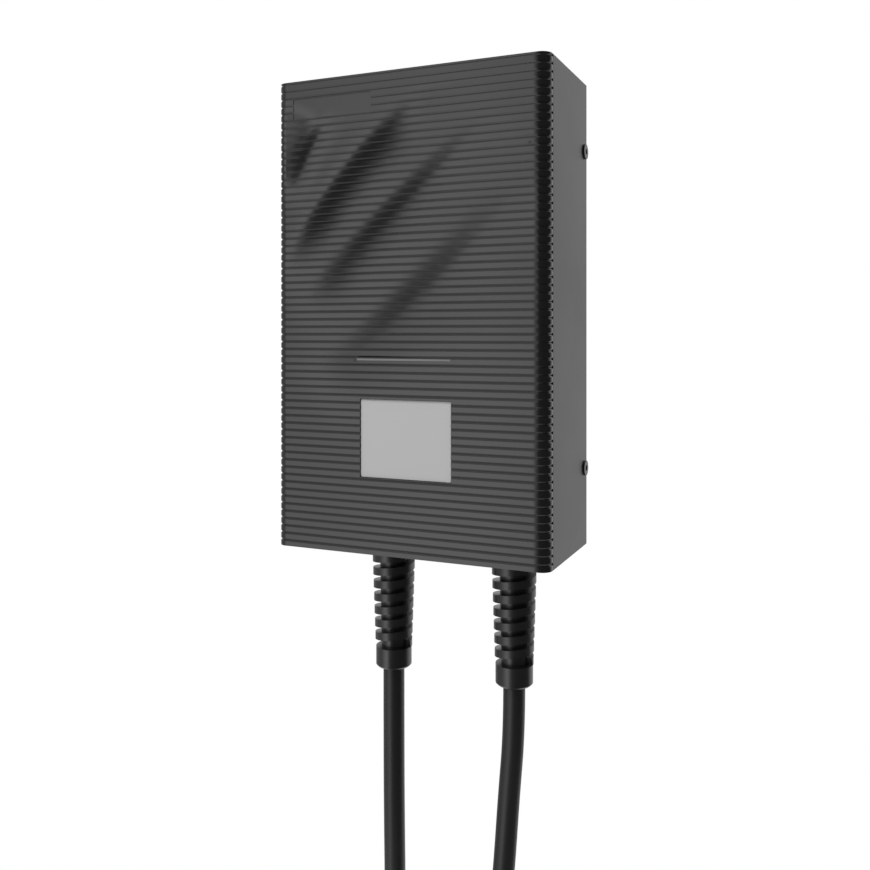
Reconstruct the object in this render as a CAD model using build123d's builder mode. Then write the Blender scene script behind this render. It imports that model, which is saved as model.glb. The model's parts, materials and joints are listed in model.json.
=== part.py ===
from build123d import *
import os
from math import atan2, cos, degrees, exp, hypot, pi, radians, sin, tan

# Wall-mounted charger for an electric car, in millimetres.
# X runs along the wall, +Y points into the wall and +Z is up. The origin lies on the
# wall plane, at the centre of the four wall screws. A distance is measured from the
# wall towards the front, so a point at distance d has y = -d.

os.makedirs("parts", exist_ok=True)

# Box
box_width = 208.0
box_height = 340.0
box_depth = 97.0
slip = 0.3                     # running room between separate pieces
snug = 0.1                     # room round a screw or a nut thread

# Rear housing
housing_wall = 4.0
back_wall = 3.0
recess_depth = 13.0            # hollow behind the back wall, for the wall bracket
rear_edge_radius = 1.2
tongue_thickness = 1.5         # thin rim that enters the cover
stiffener_thickness = 2.0
stiffener_x = 30.0
stiffener_gap = 5.0            # room between a stiffener and the wall

# Front cover
cover_front_wall = 4.5
cover_skirt = 9.0              # rounded front edge and the short straight skirt
corner_radius = 7.5
shadow_gap = 0.6               # dark line between cover and housing
seal_thickness = 1.5
rib_count = 63
rib_crest_share = 0.60         # share of the pitch that is flat
rib_valley_share = 0.80        # where the deepest line of the groove lies
groove_depth = 0.9
pad_width = 64.0
pad_height = 14.2
pad_right_x = -26.0
pad_top_z = 156.8
pad_sink = 0.45

# Soft slanting folds pressed into the upper left of the cover, each from its lower left
# end to its upper right end. Ends are measured from the left and top edges of the cover.
# Bow bends the crease towards the lower right. The bank towards the upper left is steep
# and the one towards the lower right is long and soft.
crease_folds = [
    dict(start=(13.4, 79.5), end=(46.4, 25.5), bow=-4.0, depth=1.7, steep=7.5, soft=11.0),
    dict(start=(10.3, 134.2), end=(124.3, 14.2), bow=-4.5, depth=2.6, steep=9.0, soft=14.0),
    dict(start=(20.4, 171.0), end=(174.4, 36.0), bow=-3.0, depth=2.4, steep=9.5, soft=16.0),
    dict(start=(30.8, 222.0), end=(194.8, 84.0), bow=7.0, depth=2.2, steep=13.0, soft=22.0),
]
fold_fade = 0.06               # lets the faint ends of the folds run out into the flat front
fold_step = 4.8                # spacing of the points that shape the folded front

# Display, in its shallow bezel
display_width = 69.2
display_height = 54.9
display_z = -88.0
window_thickness = 1.8
window_sink = 1.0              # glass below the rib crests
window_corner = 0.8
bezel_ledge = 3.8              # ledge that carries the glass
display_module_depth = 4.0
gasket_thickness = 1.0
gasket_width = 2.5

# Status light
bar_length = 71.6
bar_height = 1.4
bar_x = -1.5
bar_z = -32.4
sensor_width = 2.0             # small light sensor recess at the left end of the bar
sensor_height = 3.4
sensor_depth = 1.6
sensor_gap = 0.4
bar_flange = 3.0
bar_flange_thickness = 2.0
bar_sink = 0.4
led_count = 8
led_size = (3.2, 2.0, 1.2)

# Display board, on posts of the cover
board_thickness = 1.6
board_corner = 3.0
display_board_width = 100.0
display_board_height = 102.0
display_board_z = -73.0
display_post_radius = 3.0
display_post_x = 46.0
display_post_z = 45.0          # from the middle of the board

# Screws that hold the cover from behind
cover_screw_radius = 1.6
cover_screw_head_radius = 3.4
cover_screw_head = 2.4
cover_screw_length = 18.0
cover_boss_radius = 6.0
cover_post_radius = 4.0
post_root = 1.0                # how deep a post is rooted in the cover
cover_post_length = 16.5       # from the inside of the front down to the bosses
cover_boss_floor = 6.0

# Wall bracket of folded sheet steel
bracket_sheet = 1.5
bracket_height = 262.0
bracket_flange = 11.5
bracket_bend = 2.5
bracket_tab = 26.0
wall_hole_radius = 3.25
wall_hole_spacing_x = 140.0
wall_hole_spacing_z = 200.0
bracket_window_width = 66.0
bracket_window_height = 72.0
bracket_window_corner = 6.0
hook_x = 62.0
hook_width = 20.0
hook_z = 88.0
hook_reach = 9.0
hook_rise = 12.0

# Side screws, which lock the housing to the bracket
side_screw_low_z = -113.2
side_screw_high_z = 119.9
side_screw_distance = 6.4
side_screw_radius = 2.4
side_screw_length = 12.0
side_head_radius = 5.5
side_head_thickness = 1.3
side_socket_width = 4.0
clinch_nut_radius = 3.8
clinch_nut_length = 4.5

# Power board, on pillars of the back wall
power_board_width = 164.0
power_board_height = 228.0
power_board_z = 18.0
pillar_height = 8.0
pillar_radius = 3.5
pillar_x = 74.0
pillar_spacing_z = 106.0
board_screw_radius = 1.3
board_screw_head_radius = 2.8
board_screw_head = 1.8
board_screw_length = 6.0

# Cable entries in the bottom of the housing
supply_entry_inset = 69.4      # from the left side of the box
charging_entry_inset = 42.2    # from the right side
gland_distance = 43.0
cable_diameter = 16.0
gland_thread_radius = 12.5
gland_thread_length = 15.5
gland_flange_width = 33.0      # across the flats
gland_flange_height = 6.5
gland_seal_height = 1.5
gland_seal_width = 3.2
gland_nut_width = 32.0
gland_nut_height = 6.0
gland_bore = 0.4               # room round the cable in the entry and its boot
bush_wall = 2.2
bush_height = 11.0

# Spiral boot that guards the cable against kinks
boot_length = 88.0
boot_pitch = 9.8
boot_turns = 6.9
boot_top_core = 10.6
boot_end_core = 9.3
boot_top_fin = 16.2
boot_end_fin = 13.9
boot_fin_height = 5.6
boot_neck_height = 4.5
boot_neck_radius = 16.0
collar_height = 15.0
collar_radius = 13.5
collar_round = 1.5

# Cables inside the housing
jacket_end_z = -134.0
clamp_z = -145.0
clamp_height = 10.0
clamp_bar_thickness = 4.0
clamp_side = 9.0               # flat ear beside the arch of a clamp
clamp_screw_radius = 1.8
clamp_screw_head_radius = 3.4
clamp_screw_head = 2.2
clamp_screw_length = 13.0
core_radius = 2.1
pilot_radius = 0.9

# Straps round the coils, and the free end of the supply cable
tie_width = 20.0
tie_thickness = 1.4
supply_tie_angles = (225, 330)
charging_tie_angles = (15, 225, 305)
sleeve_top_radius = 8.9
sleeve_end_radius = 7.4
sleeve_length = 30.0
bare_core_length = 34.0
ferrule_collar_length = 7.0
ferrule_radius = 1.7
ferrule_collar_radius = 2.7
ferrule_length = 12.0

# Vehicle connector
connector_length = 232.0
relief_length = 46.0
relief_base_radius = 14.0
relief_end_wall = 2.4
relief_rings = 5
relief_ring_pitch = 7.4
relief_ring_gap = 2.6
relief_neck_radius = 9.0
nose_radius = 27.8
nose_flat = 5.0
shell_level = 34.0
insert_radius = 29.0
insert_seat = 12.0
power_contact_radius = 3.1
signal_contact_radius = 1.6
contact_wall = 0.8
contact_recess = 3.0
contact_depth = 28.0
cap_wall = 2.2
cap_height = 33.0
cap_edge_radius = 1.5

# Derived levels
half_width = box_width / 2
half_height = box_height / 2
bottom_z = -half_height
inner_half_width = half_width - housing_wall
inner_half_height = half_height - housing_wall
floor_distance = recess_depth + back_wall
cover_floor = box_depth - cover_front_wall
cover_boss_top = cover_floor - cover_post_length
seam_distance = box_depth - cover_skirt
rim_distance = seam_distance - shadow_gap
tongue_tip = cover_floor - seal_thickness
tongue_half_width = inner_half_width + tongue_thickness
tongue_half_height = inner_half_height + tongue_thickness
boss_x = inner_half_width - cover_boss_radius + 0.5
boss_z = inner_half_height - cover_boss_radius + 0.5
cover_screw_places = [(side * boss_x, level * boss_z) for side in (-1, 1) for level in (-1, 0, 1)]
pillar_places = [
    (side * pillar_x, power_board_z + row * pillar_spacing_z) for side in (-1, 1) for row in (-1, 0, 1)
]
display_post_places = [
    (side * display_post_x, display_board_z + row * display_post_z) for side in (-1, 1) for row in (-1, 1)
]
power_board_back = floor_distance + pillar_height
power_board_face = power_board_back + board_thickness
window_seat = box_depth - window_sink - window_thickness
gasket_back = cover_floor - gasket_thickness
display_board_face = gasket_back - display_module_depth
display_board_back = display_board_face - board_thickness
cable_radius = cable_diameter / 2
bore_radius = cable_radius + gland_bore / 2
clamp_arch_radius = bore_radius + clamp_bar_thickness
clamp_half_width = clamp_arch_radius + clamp_side
clamp_screw_x = clamp_arch_radius + clamp_side / 2
supply_x = supply_entry_inset - half_width
charging_x = half_width - charging_entry_inset
gland_places = [(supply_x, -gland_distance), (charging_x, -gland_distance)]
boot_top_z = bottom_z - gland_seal_height - gland_flange_height
boot_end_z = boot_top_z - boot_length


def wall_plane(distance):
    """Plane parallel to the wall, facing the front, with local x along X and local y along Z."""
    return Plane.XZ.offset(distance)


def fold_sink(x, z):
    """How far the folds push the front back at one place of the cover."""
    total = 0.0
    for fold in crease_folds:
        run_x = fold["end"][0] - fold["start"][0]
        run_z = fold["start"][1] - fold["end"][1]
        length = hypot(run_x, run_z)
        from_x = x + half_width - fold["start"][0]
        from_z = z - half_height + fold["start"][1]
        share = (from_x * run_x + from_z * run_z) / length**2
        if share <= 0 or share >= 1:
            continue
        across = (from_x * run_z - from_z * run_x) / length
        across -= fold["bow"] * 4 * share * (1 - share)
        spread = fold["steep"] if across < 0 else fold["soft"]
        total += fold["depth"] * sin(pi * share) * exp(-((across / spread) ** 2))
    return total**2 / (total + fold_fade)


def cover_outline(sink, level):
    """Plan outline of the cover at one height: folded front, round corners, straight back."""
    flat = half_width - corner_radius
    front_y = sink - box_depth
    steps = int(2 * flat / fold_step)
    spots = [(-flat + 2 * flat * step / steps) for step in range(steps + 1)]
    side = half_width - sink
    # every level divides its front line alike, so that the bands between levels are even
    front_points = [(spot, front_y + fold_sink(spot, level)) for spot in spots]
    shares = [step / steps for step in range(steps + 1)]
    front = Edge.make_spline(front_points, tangents=[(1, 0), (1, 0)], parameters=shares)
    add(front)
    left_round = TangentArc(front @ 0, (-side, (front @ 0).Y + corner_radius - sink), tangent=(-1, 0))
    right_round = TangentArc(front @ 1, (side, (front @ 1).Y + corner_radius - sink), tangent=(1, 0))
    Polyline(right_round @ 1, (side, -seam_distance), (-side, -seam_distance), left_round @ 1)


# Wall bracket
flange_half_width = inner_half_width - slip
bend = bracket_bend
inner_bend = bracket_bend - bracket_sheet
edge = flange_half_width
inner_edge = edge - bracket_sheet
with BuildPart() as wall_bracket:
    with BuildSketch(Plane.XY.offset(-bracket_height / 2)):
        with BuildLine():
            Line((-edge + bend, 0), (edge - bend, 0))
            RadiusArc((edge - bend, 0), (edge, -bend), -bend)
            Polyline(
                (edge, -bend), (edge, -bracket_flange), (inner_edge, -bracket_flange), (inner_edge, -bend)
            )
            RadiusArc((inner_edge, -bend), (inner_edge - inner_bend, -bracket_sheet), inner_bend)
            Line((inner_edge - inner_bend, -bracket_sheet), (inner_bend - inner_edge, -bracket_sheet))
            RadiusArc((inner_bend - inner_edge, -bracket_sheet), (-inner_edge, -bend), inner_bend)
            Polyline(
                (-inner_edge, -bend), (-inner_edge, -bracket_flange), (-edge, -bracket_flange), (-edge, -bend)
            )
            RadiusArc((-edge, -bend), (-edge + bend, 0), -bend)
        make_face()
    extrude(amount=bracket_height)
    # only a tab of each side flange is left at each side screw
    tab_gap = side_screw_high_z - side_screw_low_z - bracket_tab
    end_top = bracket_height / 2 - side_screw_high_z - bracket_tab / 2
    end_low = bracket_height / 2 + side_screw_low_z - bracket_tab / 2
    cut_y = -bracket_flange / 2 - bracket_sheet - slip
    with BuildSketch(Plane.YZ.offset(-half_width)):
        with Locations((cut_y, (side_screw_low_z + side_screw_high_z) / 2)):
            Rectangle(bracket_flange, tab_gap)
        with Locations((cut_y, (bracket_height - end_top) / 2)):
            Rectangle(bracket_flange, end_top)
        with Locations((cut_y, (end_low - bracket_height) / 2)):
            Rectangle(bracket_flange, end_low)
    extrude(amount=box_width, mode=Mode.SUBTRACT)
    with BuildSketch(wall_plane(0)):
        with GridLocations(wall_hole_spacing_x, wall_hole_spacing_z, 2, 2):
            Circle(wall_hole_radius)
        with GridLocations(1, wall_hole_spacing_z / 2, 1, 2):
            RectangleRounded(bracket_window_width, bracket_window_height, bracket_window_corner)
    extrude(amount=bracket_sheet, mode=Mode.SUBTRACT)
    for side in (-1, 1):
        with BuildSketch(Plane.YZ.offset(side * hook_x - hook_width / 2)):
            with BuildLine():
                Polyline(
                    (-bracket_sheet, hook_z),
                    (-hook_reach, hook_z),
                    (-hook_reach, hook_z + hook_rise),
                    (bracket_sheet - hook_reach, hook_z + hook_rise),
                    (bracket_sheet - hook_reach, hook_z + bracket_sheet),
                    (-bracket_sheet, hook_z + bracket_sheet),
                    close=True,
                )
            make_face()
        extrude(amount=hook_width)
    with BuildSketch(Plane.YZ.offset(-half_width)):
        with Locations((-side_screw_distance, side_screw_low_z), (-side_screw_distance, side_screw_high_z)):
            Circle(side_screw_radius + snug)
    extrude(amount=box_width, mode=Mode.SUBTRACT)
wall_bracket.part.label = "wall_bracket"
export_step(wall_bracket.part, "parts/wall_bracket.step")

# Clinch nuts in the bracket tabs
with BuildPart() as bracket_nuts:
    for side in (-1, 1):
        face_x = side * (flange_half_width - bracket_sheet)
        nut_plane = Plane(origin=(face_x, 0, 0), x_dir=(0, 1, 0), z_dir=(-side, 0, 0))
        screw_levels = (side_screw_low_z, side_screw_high_z)
        nut_places = [(-side_screw_distance, -side * level) for level in screw_levels]
        with BuildSketch(nut_plane):
            with Locations(*nut_places):
                Circle(clinch_nut_radius)
                Circle(side_screw_radius + snug, mode=Mode.SUBTRACT)
        extrude(amount=clinch_nut_length)
bracket_nuts.part.label = "bracket_nuts"
export_step(bracket_nuts.part, "parts/bracket_nuts.step")

# Low-headed side screws
with BuildPart() as side_screws:
    for side in (-1, 1):
        seat = Plane(origin=(side * half_width, 0, 0), x_dir=(0, 1, 0), z_dir=(side, 0, 0))
        places = [(-side_screw_distance, side * level) for level in (side_screw_low_z, side_screw_high_z)]
        with BuildSketch(seat):
            with Locations(*places):
                Circle(side_head_radius)
        extrude(amount=side_head_thickness)
        with BuildSketch(seat):
            with Locations(*places):
                Circle(side_screw_radius)
        extrude(amount=-side_screw_length)
        with BuildSketch(seat.offset(side_head_thickness / 2)):
            with Locations(*places):
                RegularPolygon(side_socket_width / 2, 6, major_radius=False)
        extrude(amount=side_head_thickness, mode=Mode.SUBTRACT)
side_screws.part.label = "side_screws"
export_step(side_screws.part, "parts/side_screws.step")

# Rear housing
lip_reach = hook_reach - bracket_sheet - slip
with BuildPart() as rear_housing:
    with BuildSketch(wall_plane(0)):
        Rectangle(box_width, box_height)
    extrude(amount=rim_distance)
    fillet(rear_housing.faces().sort_by(Axis.Y)[-1].edges(), rear_edge_radius)
    with BuildSketch(wall_plane(rim_distance)):
        Rectangle(2 * tongue_half_width, 2 * tongue_half_height)
    extrude(amount=tongue_tip - rim_distance)
    with BuildSketch(wall_plane(floor_distance)):
        Rectangle(2 * inner_half_width, 2 * inner_half_height)
    extrude(amount=box_depth, mode=Mode.SUBTRACT)
    with BuildSketch(wall_plane(0)):
        Rectangle(2 * inner_half_width, 2 * inner_half_height)
    extrude(amount=recess_depth, mode=Mode.SUBTRACT)
    # hollow bosses for the cover screws
    with BuildSketch(wall_plane(recess_depth)):
        with Locations(*cover_screw_places):
            Circle(cover_boss_radius)
    extrude(amount=cover_boss_top - recess_depth)
    with BuildSketch(wall_plane(recess_depth)):
        with Locations(*cover_screw_places):
            Circle(cover_screw_head_radius + slip)
    extrude(amount=cover_boss_top - cover_boss_floor - recess_depth, mode=Mode.SUBTRACT)
    with BuildSketch(wall_plane(recess_depth)):
        with Locations(*cover_screw_places):
            Circle(cover_screw_radius + slip)
    extrude(amount=box_depth - recess_depth, mode=Mode.SUBTRACT)
    # pillars for the power board
    with BuildSketch(wall_plane(floor_distance)):
        with Locations(*pillar_places):
            Circle(pillar_radius)
    extrude(amount=pillar_height)
    with BuildSketch(wall_plane(power_board_back)):
        with Locations(*pillar_places):
            Circle(board_screw_radius + snug)
    extrude(amount=-board_screw_length, mode=Mode.SUBTRACT)
    # seats for the cable clamps
    for place_x in (supply_x, charging_x):
        with BuildSketch(Plane.XY.offset(clamp_z - clamp_height / 2)):
            with Locations((place_x, -(floor_distance + gland_distance) / 2)):
                Rectangle(2 * clamp_half_width, gland_distance - floor_distance)
            with Locations((place_x, -gland_distance)):
                Circle(bore_radius, mode=Mode.SUBTRACT)
        extrude(amount=clamp_height)
        with BuildSketch(wall_plane(gland_distance)):
            with Locations((place_x, clamp_z)):
                with GridLocations(2 * clamp_screw_x, 1, 2, 1):
                    Circle(clamp_screw_radius + snug)
        extrude(amount=clamp_bar_thickness - clamp_screw_length - slip, mode=Mode.SUBTRACT)
    # holes for the cable entries and the side screws
    with BuildSketch(Plane.XY.offset(bottom_z)):
        with Locations(*gland_places):
            Circle(gland_thread_radius + slip)
    extrude(amount=housing_wall, mode=Mode.SUBTRACT)
    with BuildSketch(Plane.YZ.offset(-half_width)):
        with Locations((-side_screw_distance, side_screw_low_z), (-side_screw_distance, side_screw_high_z)):
            Circle(side_screw_radius + slip)
    extrude(amount=box_width, mode=Mode.SUBTRACT)
    # lips that hang on the hooks of the bracket
    for side in (-1, 1):
        with BuildSketch(Plane.YZ.offset(side * hook_x - hook_width / 2)):
            with BuildLine():
                lip_low = hook_z + bracket_sheet
                lip_top = hook_z + hook_rise + slip
                Polyline(
                    (-bracket_sheet - slip, lip_low),
                    (-lip_reach, lip_low),
                    (-lip_reach, lip_top),
                    (-recess_depth, lip_top),
                    (-recess_depth, lip_top + back_wall),
                    (-bracket_sheet - slip, lip_top + back_wall),
                    close=True,
                )
            make_face()
        extrude(amount=hook_width)
    # stiffeners on the back
    with BuildSketch(wall_plane(stiffener_gap)):
        with GridLocations(2 * stiffener_x, 1, 2, 1):
            Rectangle(stiffener_thickness, 2 * inner_half_height)
    extrude(amount=recess_depth - stiffener_gap)
rear_housing.part.label = "rear_housing"
export_step(rear_housing.part, "parts/rear_housing.step")

# Front cover: one thin band for each flat and each bank of each rib
rib_pitch = box_height / rib_count
rib_levels = [
    (bottom_z + (rib + share) * rib_pitch, sink)
    for rib in range(rib_count)
    for share, sink in ((0, 0), (rib_crest_share, 0), (rib_valley_share, groove_depth))
]
rib_levels.append((half_height, 0))
pocket_half_width = tongue_half_width + slip
pocket_half_height = tongue_half_height + slip
bezel_width = display_width + 2 * slip
bezel_height = display_height + 2 * slip
with BuildPart() as front_cover:
    for level, sink in rib_levels:
        with BuildSketch(Plane.XY.offset(level)):
            with BuildLine():
                cover_outline(sink, level)
            make_face()
    loft(ruled=True)
    with BuildSketch(wall_plane(seam_distance)):
        Rectangle(2 * pocket_half_width, 2 * pocket_half_height)
    extrude(amount=cover_floor - seam_distance, mode=Mode.SUBTRACT)
    # bezel and opening of the display
    with BuildSketch(wall_plane(window_seat)):
        with Locations((0, display_z)):
            Rectangle(bezel_width, bezel_height)
    extrude(amount=box_depth - window_seat, mode=Mode.SUBTRACT)
    with BuildSketch(wall_plane(cover_floor)):
        with Locations((0, display_z)):
            Rectangle(display_width - 2 * bezel_ledge, display_height - 2 * bezel_ledge)
        with Locations((bar_x, bar_z)):
            Rectangle(bar_length + 2 * snug, bar_height + 2 * snug)
    extrude(amount=cover_front_wall, mode=Mode.SUBTRACT)
    # light sensor recess at the left end of the status light
    with BuildSketch(wall_plane(box_depth - sensor_depth)):
        with Locations((bar_x - (bar_length + sensor_width) / 2 - sensor_gap, bar_z)):
            Rectangle(sensor_width, sensor_height)
    extrude(amount=sensor_depth, mode=Mode.SUBTRACT)
    # bare pad in the upper left corner
    for fill, fill_mode in ((-2 * groove_depth, Mode.ADD), (pad_sink + slip, Mode.SUBTRACT)):
        with BuildSketch(wall_plane(box_depth - pad_sink)):
            with Locations((pad_right_x - pad_width / 2, pad_top_z - pad_height / 2)):
                Rectangle(pad_width, pad_height)
        extrude(amount=fill, mode=fill_mode)
    # posts for the cover screws and for the display board
    with BuildSketch(wall_plane(cover_boss_top)):
        with Locations(*cover_screw_places):
            Circle(cover_post_radius)
    extrude(amount=cover_floor + post_root - cover_boss_top)
    with BuildSketch(wall_plane(cover_boss_top)):
        with Locations(*cover_screw_places):
            Circle(cover_screw_radius + snug)
    extrude(amount=cover_screw_length - cover_boss_floor + slip, mode=Mode.SUBTRACT)
    with BuildSketch(wall_plane(display_board_face)):
        with Locations(*display_post_places):
            Circle(display_post_radius)
    extrude(amount=cover_floor + post_root - display_board_face)
    with BuildSketch(wall_plane(display_board_face)):
        with Locations(*display_post_places):
            Circle(board_screw_radius + snug)
    extrude(amount=board_screw_length - board_thickness, mode=Mode.SUBTRACT)
front_cover.part.label = "front_cover"
export_step(front_cover.part, "parts/front_cover.step")

# Rubber seal between the tongue and the cover
with BuildPart() as cover_seal:
    with BuildSketch(wall_plane(tongue_tip)):
        Rectangle(2 * tongue_half_width, 2 * tongue_half_height)
        Rectangle(2 * inner_half_width, 2 * inner_half_height, mode=Mode.SUBTRACT)
    extrude(amount=seal_thickness)
cover_seal.part.label = "cover_seal"
export_step(cover_seal.part, "parts/cover_seal.step")

# Screws that draw the cover onto the housing
cover_screw_seat = cover_boss_top - cover_boss_floor
with BuildPart() as cover_screws:
    with BuildSketch(wall_plane(cover_screw_seat - cover_screw_head)):
        with Locations(*cover_screw_places):
            Circle(cover_screw_head_radius)
    extrude(amount=cover_screw_head)
    with BuildSketch(wall_plane(cover_screw_seat)):
        with Locations(*cover_screw_places):
            Circle(cover_screw_radius)
    extrude(amount=cover_screw_length)
cover_screws.part.label = "cover_screws"
export_step(cover_screws.part, "parts/cover_screws.step")

# Display: glass, gasket and module
with BuildPart() as display_window:
    with BuildSketch(wall_plane(window_seat)):
        with Locations((0, display_z)):
            RectangleRounded(display_width, display_height, window_corner)
    extrude(amount=window_thickness)
display_window.part.label = "display_window"
export_step(display_window.part, "parts/display_window.step")

module_width = display_width - 2 * bezel_ledge + 2 * gasket_width
module_height = display_height - 2 * bezel_ledge + 2 * gasket_width
with BuildPart() as display_gasket:
    with BuildSketch(wall_plane(gasket_back)):
        with Locations((0, display_z)):
            Rectangle(module_width, module_height)
            Rectangle(module_width - 2 * gasket_width, module_height - 2 * gasket_width, mode=Mode.SUBTRACT)
    extrude(amount=gasket_thickness)
display_gasket.part.label = "display_gasket"
export_step(display_gasket.part, "parts/display_gasket.step")

with BuildPart() as display_module:
    with BuildSketch(wall_plane(display_board_face)):
        with Locations((0, display_z)):
            Rectangle(module_width, module_height)
    extrude(amount=display_module_depth)
    with BuildSketch(wall_plane(gasket_back)):
        with Locations((0, display_z)):
            Rectangle(module_width - 2 * gasket_width, module_height - 2 * gasket_width)
    extrude(amount=-gasket_thickness / 2, mode=Mode.SUBTRACT)
display_module.part.label = "display_module"
export_step(display_module.part, "parts/display_module.step")

# Light guide of the status light
with BuildPart() as light_bar:
    with BuildSketch(wall_plane(cover_floor - bar_flange_thickness)):
        with Locations((bar_x, bar_z)):
            Rectangle(bar_length + 2 * bar_flange, bar_height + 2 * bar_flange)
    extrude(amount=bar_flange_thickness)
    with BuildSketch(wall_plane(cover_floor)):
        with Locations((bar_x, bar_z)):
            Rectangle(bar_length, bar_height)
    extrude(amount=cover_front_wall - bar_sink)
light_bar.part.label = "light_bar"
export_step(light_bar.part, "parts/light_bar.step")

# Display board with its lamps, chips, radio and screws
with BuildPart() as display_board:
    with BuildSketch(wall_plane(display_board_back)):
        with Locations((0, display_board_z)):
            RectangleRounded(display_board_width, display_board_height, board_corner)
        with Locations(*display_post_places):
            Circle(board_screw_radius + snug, mode=Mode.SUBTRACT)
    extrude(amount=board_thickness)
display_board.part.label = "display_board"
export_step(display_board.part, "parts/display_board.step")

led_pitch = bar_length / led_count
with BuildPart() as status_leds:
    with BuildSketch(wall_plane(display_board_face)):
        with Locations((bar_x, bar_z)):
            with GridLocations(led_pitch, 1, led_count, 1):
                Rectangle(led_size[0], led_size[1])
    extrude(amount=led_size[2])
status_leds.part.label = "status_leds"
export_step(status_leds.part, "parts/status_leds.step")

chip_height = 1.4
processor_side = 14.0
processor_place = (14.0, -58.0)
small_chip_size = (8.0, 6.0)
small_chip_places = [(-14.0, -52.0), (-14.0, -64.0), (36.0, -58.0)]
with BuildPart() as control_chips:
    with BuildSketch(wall_plane(display_board_back - chip_height)):
        with Locations(processor_place):
            Rectangle(processor_side, processor_side)
        with Locations(*small_chip_places):
            Rectangle(*small_chip_size)
    extrude(amount=chip_height)
control_chips.part.label = "control_chips"
export_step(control_chips.part, "parts/control_chips.step")

radio_height = 3.0
radio_size = (25.0, 17.0)
radio_place = (30.0, -98.0)
with BuildPart() as radio_module:
    with BuildSketch(wall_plane(display_board_back - radio_height)):
        with Locations(radio_place):
            Rectangle(*radio_size)
    extrude(amount=radio_height)
    chamfer(radio_module.faces().sort_by(Axis.Y)[-1].edges(), 0.5)
radio_module.part.label = "radio_module"
export_step(radio_module.part, "parts/radio_module.step")

with BuildPart() as display_board_screws:
    with BuildSketch(wall_plane(display_board_back - board_screw_head)):
        with Locations(*display_post_places):
            Circle(board_screw_head_radius)
    extrude(amount=board_screw_head)
    with BuildSketch(wall_plane(display_board_back)):
        with Locations(*display_post_places):
            Circle(board_screw_radius)
    extrude(amount=board_screw_length - slip)
display_board_screws.part.label = "display_board_screws"
export_step(display_board_screws.part, "parts/display_board_screws.step")

# Power board and its screws
with BuildPart() as power_board:
    with BuildSketch(wall_plane(power_board_back)):
        with Locations((0, power_board_z)):
            RectangleRounded(power_board_width, power_board_height, board_corner)
        with Locations(*pillar_places):
            Circle(board_screw_radius + snug, mode=Mode.SUBTRACT)
    extrude(amount=board_thickness)
power_board.part.label = "power_board"
export_step(power_board.part, "parts/power_board.step")

with BuildPart() as power_board_screws:
    with BuildSketch(wall_plane(power_board_face)):
        with Locations(*pillar_places):
            Circle(board_screw_head_radius)
    extrude(amount=board_screw_head)
    with BuildSketch(wall_plane(power_board_face)):
        with Locations(*pillar_places):
            Circle(board_screw_radius)
    extrude(amount=slip - board_screw_length)
power_board_screws.part.label = "power_board_screws"
export_step(power_board_screws.part, "parts/power_board_screws.step")

# Terminal blocks: a row of wire tunnels from below, with a screw above each
terminal_z = -80.0
terminal_height = 22.0
terminal_depth = 24.0
tunnel_radius = core_radius + slip
tunnel_length = 13.0
tunnel_height = 9.0
tunnel_distance = power_board_face + tunnel_height
terminal_screw_radius = 2.6
terminal_screw_length = 7.0
terminal_slot = 1.0
terminal_low_z = terminal_z - terminal_height / 2
supply_block = dict(x=-38.0, poles=3, pitch=17.0)
output_block = dict(x=38.0, poles=4, pitch=14.0)


def pole_places(block):
    """Middle of each pole of a terminal block, along X."""
    first = block["x"] - block["pitch"] * (block["poles"] - 1) / 2
    return [first + block["pitch"] * pole for pole in range(block["poles"])]


def terminal_block(block):
    """One terminal block on the power board."""
    with BuildPart() as body:
        with BuildSketch(wall_plane(power_board_face)):
            with Locations((block["x"], terminal_z)):
                Rectangle(block["pitch"] * block["poles"], terminal_height)
        extrude(amount=terminal_depth)
        with BuildSketch(Plane.XY.offset(terminal_low_z)):
            with Locations(*[(place, -tunnel_distance) for place in pole_places(block)]):
                Circle(tunnel_radius)
        extrude(amount=tunnel_length, mode=Mode.SUBTRACT)
        with BuildSketch(wall_plane(power_board_face + terminal_depth)):
            with Locations(*[(place, terminal_z) for place in pole_places(block)]):
                Circle(terminal_screw_radius + snug)
        extrude(amount=-terminal_screw_length - slip, mode=Mode.SUBTRACT)
    return body


supply_terminals = terminal_block(supply_block)
supply_terminals.part.label = "supply_terminals"
export_step(supply_terminals.part, "parts/supply_terminals.step")

output_terminals = terminal_block(output_block)
output_terminals.part.label = "output_terminals"
export_step(output_terminals.part, "parts/output_terminals.step")

screw_spots = [(place, terminal_z) for place in pole_places(supply_block) + pole_places(output_block)]
with BuildPart() as terminal_screws:
    with BuildSketch(wall_plane(power_board_face + terminal_depth - terminal_screw_length - slip)):
        with Locations(*screw_spots):
            Circle(terminal_screw_radius)
    extrude(amount=terminal_screw_length - terminal_slot)
    with BuildSketch(wall_plane(power_board_face + terminal_depth - slip - terminal_slot)):
        with Locations(*screw_spots):
            Rectangle(terminal_slot, 2 * terminal_screw_radius)
    extrude(amount=-terminal_slot, mode=Mode.SUBTRACT)
terminal_screws.part.label = "terminal_screws"
export_step(terminal_screws.part, "parts/terminal_screws.step")

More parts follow.
